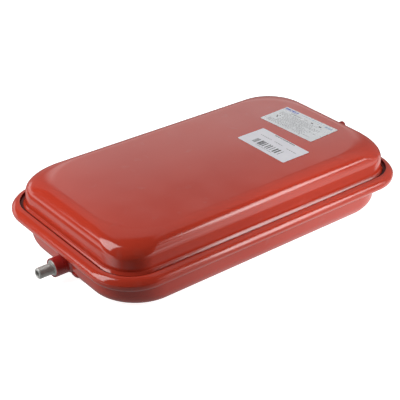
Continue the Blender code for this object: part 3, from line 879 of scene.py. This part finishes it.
def text_row(top, height, start, end, ink_slot, seed, word=2.2, space=0.7, fill=0.9):
    """Generic dashes in place of a line of print: (top, bottom, start, end, ink)."""
    marks = []
    at, k = start, 0
    while at < end:
        length = word * (0.45 + 1.1 * hashed(seed, k))
        stop = min(at + length, end)
        if hashed(k, seed, 3) < fill:
            marks.append((top, top + height, at, stop, ink_slot))
        at = stop + space * (0.7 + 0.8 * hashed(seed, k, 7))
        k += 1
    return marks


def make_label(name, node, size, centre, turn, marks, materials):
    """A label lying on the top panel, with its print as faces of its own.

    Marks are in millimetres: down from the +X edge, and along from the +Y end.
    """
    size_x, size_y = size
    low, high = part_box(node)
    top, bottom, corner = high.z, low.z, 1.5
    down, along = size_x / MM, size_y / MM
    bands = sorted({0.0, corner, down - corner, down}
                   | {m[0] for m in marks} | {m[1] for m in marks})
    place = Matrix.Translation((*centre, 0.0)) @ Matrix.Rotation(turn, 4, "Z")

    def point(t, s, z):
        return place @ Vector((size_x / 2 - t * MM, size_y / 2 - s * MM, z))

    def ease(t):
        """How far the rounded corner cuts in from the ends, t down from the edge."""
        near = min(t, down - t)
        return 0.0 if near >= corner else corner - math.sqrt(corner ** 2 - (corner - near) ** 2)

    for k in range(1, 5):
        bands += [corner * k / 5, down - corner * k / 5]
    bands = sorted(set(bands))
    verts, faces, slots = [], [], []
    for first, second in zip(bands, bands[1:]):
        if second - first < 1e-6:
            continue
        middle = (first + second) / 2
        here = sorted((m for m in marks if m[0] <= middle <= m[1]), key=lambda m: m[2])
        cuts = [ease(middle)]
        fills = []
        for _, _, start, end, slot in here:
            if start < cuts[-1]:
                continue
            fills += [0, slot]
            cuts += [start, end]
        fills.append(0)
        cuts.append(along - ease(middle))
        for (start, end), slot in zip(zip(cuts, cuts[1:]), fills):
            if end - start < 1e-6:
                continue
            corners = []
            for t, s in ((first, start), (second, start), (second, end), (first, end)):
                if s == cuts[0]:
                    s = ease(t)
                elif s == cuts[-1]:
                    s = along - ease(t)
                corners.append(len(verts))
                verts.append(point(t, s, top))
            faces.append(tuple(corners))
            slots.append(slot)
    rim = []
    for side_t, side_s, start in ((1, 1, 0), (0, 1, 1), (0, 0, 2), (1, 0, 3)):
        for step in range(6):
            angle = math.radians(90) * (start + step / 5)
            centre_t = down - corner if side_t else corner
            centre_s = along - corner if side_s else corner
            rim.append((centre_t + corner * math.cos(angle), centre_s + corner * math.sin(angle)))
    base = len(verts)
    for z in (top, bottom):
        verts += [point(t, s, z) for t, s in rim]
    count = len(rim)
    for i in range(count):
        j = (i + 1) % count
        faces.append((base + i, base + j, base + count + j, base + count + i))
        slots.append(0)
    faces.append(tuple(base + count + i for i in range(count)))
    slots.append(0)
    mesh = mesh_from(name, verts, faces, smooth=False)
    label = new_piece(name, mesh, *materials)
    for polygon, slot in zip(mesh.polygons, slots):
        polygon.material_index = slot
    bm = bmesh.new()
    bm.from_mesh(mesh)
    bmesh.ops.recalc_face_normals(bm, faces=bm.faces)
    for face in bm.faces:
        if abs(face.normal.z) > 0.9 and face.calc_center_median().z > (top + bottom) / 2:
            if face.normal.z < 0:
                face.normal_flip()
    bm.to_mesh(mesh)
    bm.free()
    return label


def rating_marks():
    grey, black, blue, pale = 1, 2, 3, 4
    marks = []
    marks += text_row(2.4, 2.6, 1.5, 24.0, blue, 1.0, word=6.0, space=0.8, fill=1.0)
    marks += text_row(6.4, 0.9, 2.0, 27.0, blue, 2.0, word=3.0, space=0.8)
    marks += text_row(3.4, 1.0, 30.0, 68.0, pale, 3.0, word=4.0, space=1.2)
    marks += text_row(4.4, 3.0, 71.0, 83.0, pale, 4.0, word=5.0, space=0.6, fill=1.0)
    marks += text_row(10.0, 1.5, 17.0, 35.0, grey, 5.0, word=4.0, space=0.7, fill=1.0)
    marks += text_row(10.2, 1.2, 39.0, 46.0, grey, 6.0, word=3.0)
    marks += [(10.2, 12.0, 51.6, 55.4, black), (10.0, 12.4, 65.4, 69.2, black)]
    for row in range(15):
        top = 14.6 + row * 2.05
        start = 16.5 if 4 <= row <= 10 else 6.0
        end = 78.0 - 22.0 * hashed(row, 4)
        marks += text_row(top, 0.85, start, end, grey, 10.0 + row, word=2.6, space=1.1)
    marks += [(26.0, 27.4, 8.0, 9.4, black), (27.4, 30.2, 9.4, 11.2, black),
              (30.2, 31.6, 11.2, 12.6, black), (24.6, 26.0, 11.2, 12.6, black)]
    return marks


def code_marks():
    """A title, a line of print and plain made-up bars."""
    grey, black = 1, 2
    marks = []
    marks += text_row(1.3, 1.5, 24.0, 58.0, black, 1.0, word=2.4, space=0.6, fill=1.0)
    marks += text_row(13.4, 1.1, 11.0, 50.0, grey, 2.0, word=2.6, space=0.8)
    marks += text_row(14.9, 1.1, 58.0, 75.0, grey, 3.0, word=3.0, space=0.8)
    at, k = 16.5, 0
    while at < 63.0:
        width = (0.7, 0.9, 1.5, 2.3)[int(hashed(k, 2.0) * 4)]
        marks.append((23.3, 34.3, at, at + width, black))
        at += width + (0.7, 1.3, 1.9, 3.4)[int(hashed(k, 5.0) * 4)]
        k += 1
    marks += text_row(36.0, 1.2, 26.0, 54.0, grey, 4.0, word=1.2, space=1.0, fill=1.0)
    return marks


# ---------------------------------------------------------------- assembly

def replace(piece, node, body):
    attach(piece, body)
    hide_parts(node)
    return piece


def repaint(node, material):
    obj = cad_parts[node]
    for slot in obj.material_slots:
        slot.material = material


replace(make_gas_half(), "gas_shell", "vessel")
replace(make_water_half(), "water_shell", "vessel")
replace(make_rim(), "clench_ring", "vessel")
replace(make_boss(), "connection_boss", "vessel")
replace(make_nipple(), "water_nipple", "vessel")
replace(make_stem(), "valve_stem", "vessel")
replace(make_washer(), "valve_washer", "vessel")
replace(make_nut(), "valve_nut", "vessel")
replace(make_cap(), "valve_cap", "valve_cap")
replace(make_label("silver_label", "rating_label", *RATING_LABEL, rating_marks(),
                   (SILVER_FILM, GREY_INK, BLACK_INK, BLUE_INK, PALE_INK)),
        "rating_label", "vessel")
replace(make_label("white_label", "barcode_label", *BARCODE_LABEL, code_marks(),
                   (WHITE_PAPER, GREY_INK, BLACK_INK)),
        "barcode_label", "vessel")

membrane = make_membrane()
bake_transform(membrane)
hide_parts("diaphragm")

spring = make_spring()
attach(spring, "vessel")
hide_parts("core_spring")
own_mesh(spring)

for node, material in (("valve_gasket", SEAL_RUBBER), ("cap_seal", SEAL_RUBBER),
                       ("core_cup", SEAL_RUBBER), ("core_plug", CORE_BRASS),
                       ("core_barrel", CORE_BRASS), ("core_gasket", SEAT_PLASTIC),
                       ("core_pin", PIN_STEEL)):
    repaint(node, material)


# ---------------------------------------------------------------- camera

AZIMUTH, ELEVATION, ROLL = math.radians(-39.43), math.radians(30.13), math.radians(1.07)
DISTANCE = 1276 * MM
TARGET = Vector((-28.1, -18.2, 44.4)) * MM

back = Vector((math.sin(AZIMUTH) * math.cos(ELEVATION), -math.cos(AZIMUTH) * math.cos(ELEVATION),
               math.sin(ELEVATION)))
level = Vector((math.cos(AZIMUTH), math.sin(AZIMUTH), 0.0))
upright = back.cross(level)
right = level * math.cos(ROLL) + upright * math.sin(ROLL)
up = back.cross(right)
camera = bpy.data.objects.new("camera", bpy.data.cameras.new("camera"))
bpy.context.scene.collection.objects.link(camera)
camera.data.sensor_width = 36.0
camera.data.lens = 98.17
camera.data.clip_start = 0.05
camera.data.clip_end = 60.0
camera.matrix_world = (Matrix.Translation(TARGET + back * DISTANCE)
                       @ Matrix((right, up, back)).transposed().to_4x4())
bpy.context.scene.camera = camera


# ---------------------------------------------------------------- floor, sky and lamps

FLOOR_GLOW = 0.93
BACKDROP = 1.1                      # what the camera sees of the sky
LAMPS = (                           # name, place in millimetres, radius, watts
    ("fill_valve_end", (850.0, -500.0, 110.0), 0.10, 11.0),
    ("fill_side", (60.0, -290.0, 190.0), 0.06, 1.05),
    ("fill_low", (120.0, -620.0, 25.0), 0.06, 1.15),
    ("fill_water_end", (-390.0, 60.0, 245.0), 0.06, 1.45),
    ("fill_back", (350.0, 550.0, 900.0), 0.10, 5.4),
)


class Rose:
    """A strength made of patches of the directions round the vessel, in degrees.

    Azimuth 0 is -Y and 90 is +X. Patches behind the vessel count azimuth from +Y instead.
    """

    def __init__(self, tree, place):
        self.nodes, self.links = tree.nodes, tree.links
        split = self.nodes.new("ShaderNodeSeparateXYZ")
        self.links.new(self.nodes.new("ShaderNodeTexCoord").outputs[place], split.inputs["Vector"])
        self.x, self.y, z = x, y, z = [split.outputs[axis] for axis in "XYZ"]
        self.front = self.degrees("ARCTAN2", x, self.math("MULTIPLY", y, -1.0))
        self.behind = self.degrees("ARCTAN2", self.math("MULTIPLY", x, -1.0), y)
        self.elevation = self.degrees("ARCSINE", z)
        self.total = None

    def math(self, operation, first, second=None):
        node = self.nodes.new("ShaderNodeMath")
        node.operation = operation
        for socket, value in zip(node.inputs, (first, second)):
            if value is None:
                continue
            if isinstance(value, (int, float)):
                socket.default_value = value
            else:
                self.links.new(value, socket)
        return node.outputs["Value"]

    def degrees(self, operation, first, second=None):
        return self.math("MULTIPLY", self.math(operation, first, second), math.degrees(1.0))

    def step(self, value, low, high):
        node = self.nodes.new("ShaderNodeMapRange")
        node.interpolation_type = "SMOOTHSTEP"
        node.inputs["From Min"].default_value = low
        node.inputs["From Max"].default_value = high
        self.links.new(value, node.inputs["Value"])
        return node.outputs["Result"]

    def all_of(self, first, *others):
        for other in others:
            first = self.math("MULTIPLY", first, other)
        return first

    def window(self, value, low, high, soft):
        opens = self.step(value, low - soft, low + soft)
        return self.all_of(opens, self.step(value, high + soft, high - soft))

    def add(self, strength, across, low, high, soft, rise=None, lean=0.0, pivot=0.0):
        """A patch from azimuth low to high, and over rise's elevations (bottom, top, softness).

        Its elevations climb by lean for each degree of azimuth past the pivot.
        """
        shape = self.window(across, low, high, soft)
        if rise:
            height = self.elevation
            if lean:
                climb = self.math("MULTIPLY", self.math("SUBTRACT", across, pivot), lean)
                height = self.math("SUBTRACT", height, climb)
            shape = self.all_of(shape, self.window(height, *rise))
        self.put(strength, shape)

    def put(self, strength, shape):
        part = self.math("MULTIPLY", shape, strength)
        self.total = part if self.total is None else self.math("ADD", self.total, part)

    def over(self, base):
        return self.math("ADD", self.total, base)


def seen_by_camera(tree, others, camera, output):
    """Shows the camera one shader, and everything else the other."""
    mix = tree.nodes.new("ShaderNodeMixShader")
    ray = tree.nodes.new("ShaderNodeLightPath").outputs["Is Camera Ray"]
    tree.links.new(ray, mix.inputs[0])
    tree.links.new(others, mix.inputs[1])
    tree.links.new(camera, mix.inputs[2])
    tree.links.new(mix.outputs[0], tree.nodes[output].inputs["Surface"])


def make_floor():
    """Pale floor. Its sheen lights and shows in the enamel, and the camera doesn't see it."""
    bm = bmesh.new()
    bmesh.ops.create_grid(bm, x_segments=8, y_segments=8, size=8.0)
    mesh = bpy.data.meshes.new("floor")
    bm.to_mesh(mesh)
    bm.free()
    paint = Paint("floor_white", 0.9)
    paint.colour(paint.ramp(paint.noise(2.0, 2.0), 0.3, 0.7, (0.80, 0.80, 0.80),
                            (0.82, 0.82, 0.82)))
    paint.set("Specular IOR Level", 0.0)
    paint.set("Emission Color", (1.0, 1.0, 1.0, 1.0))
    paint.set("Emission Strength", FLOOR_GLOW)
    tree = paint.material.node_tree
    sheen = Rose(tree, "Object")
    beside = sheen.all_of(
        sheen.step(sheen.x, -0.22, 0.24), sheen.step(sheen.y, 0.0, -0.11),
        sheen.math("ADD", sheen.step(sheen.y, -0.19, -0.155), sheen.step(sheen.y, -0.225, -0.26)))
    sheen.put(0.90, beside)
    sheen.put(0.12, sheen.step(sheen.x, -0.20, 0.0))
    sheen.put(0.22, sheen.all_of(
        sheen.window(sheen.x, -0.29, -0.03, 0.05), sheen.step(sheen.y, -0.235, -0.165)))
    sheen.put(0.43, sheen.all_of(
        sheen.step(sheen.x, -0.305, -0.265), sheen.step(sheen.x, -0.19, -0.22),
        sheen.step(sheen.y, -0.10, 0.10)))
    sheen.put(1.17, sheen.all_of(
        sheen.step(sheen.x, -0.42, -0.52), sheen.step(sheen.y, 0.03, 0.13)))
    sheen.put(0.86, sheen.all_of(
        sheen.step(sheen.x, -0.28, -0.32), sheen.step(sheen.y, -0.16, -0.06),
        sheen.step(sheen.y, 0.08, 0.02)))
    glow = tree.nodes.new("ShaderNodeEmission")
    tree.links.new(sheen.over(0.05), glow.inputs["Strength"])
    seen_by_camera(tree, glow.outputs[0], paint.shader.outputs[0], "Material Output")
    floor = new_piece("floor", mesh, paint.material)
    floor.location.z = -0.2 * MM


def make_sky():
    world = bpy.data.worlds.new("studio")
    world.use_nodes = True
    bpy.context.scene.world = world
    sky = Rose(world.node_tree, "Generated")
    # softbox on the valve's side, and its card below
    sky.add(5.15, sky.front, 36.3, 48.5, 1.0, (19.5, 31.0, 1.5), lean=0.55, pivot=40.0)
    sky.add(1.25, sky.front, 48.5, 60.0, 3.0, (12.0, 25.0, 3.0))
    sky.add(1.05, sky.front, 31.0, 41.5, 1.6, (-5.0, 19.0, 2.0))
    sky.add(0.43, sky.front, 41.5, 72.0, 3.0, (-5.0, 12.0, 4.0))
    # tall softbox on the water end's side
    sky.add(3.43, sky.front, -138.3, -102.5, 1.5, (20.0, 67.0, 2.0), lean=0.30, pivot=-118.0)
    # pale backdrop behind, brighter low down
    sky.add(0.20, sky.behind, -118.0, 12.0, 8.0, (-12.0, 67.0, 5.0))
    sky.add(0.12, sky.behind, -118.0, 12.0, 8.0, (36.0, 67.0, 4.0))
    sky.add(0.96, sky.behind, -54.0, -22.0, 7.0, (15.0, 27.4, 3.0), lean=0.16, pivot=-42.0)
    sky.add(0.35, sky.behind, -54.0, -22.0, 7.0, (-20.0, 15.0, 4.0))
    sky.add(1.09, sky.behind, -4.0, 38.0, 3.0, (-5.0, 9.5, 2.0))
    sky.add(0.75, sky.behind, 42.0, 56.0, 3.0, (-5.0, 4.0, 2.0))
    lamp = sky.nodes["Background"]
    lamp.inputs["Color"].default_value = (1.0, 1.0, 1.0, 1.0)
    sky.links.new(sky.over(0.03), lamp.inputs["Strength"])
    plain = sky.nodes.new("ShaderNodeBackground")
    plain.inputs["Color"].default_value = (1.0, 1.0, 1.0, 1.0)
    plain.inputs["Strength"].default_value = BACKDROP
    seen_by_camera(world.node_tree, lamp.outputs[0], plain.outputs[0], "World Output")


def fill(name, place, radius, power):
    """A soft lamp near the vessel that adds light, but no highlight of its own."""
    lamp = bpy.data.lights.new(name, "POINT")
    lamp.shadow_soft_size = radius
    lamp.energy = power
    obj = bpy.data.objects.new(name, lamp)
    bpy.context.scene.collection.objects.link(obj)
    obj.location = Vector(place) * MM
    obj.visible_camera = False
    obj.visible_glossy = False


for settings in LAMPS:
    fill(*settings)
make_floor()
make_sky()

scene = bpy.context.scene
scene.view_settings.view_transform = "Standard"
scene.view_settings.look = "None"
scene.view_settings.exposure = 0.0
scene.view_settings.gamma = 1.0
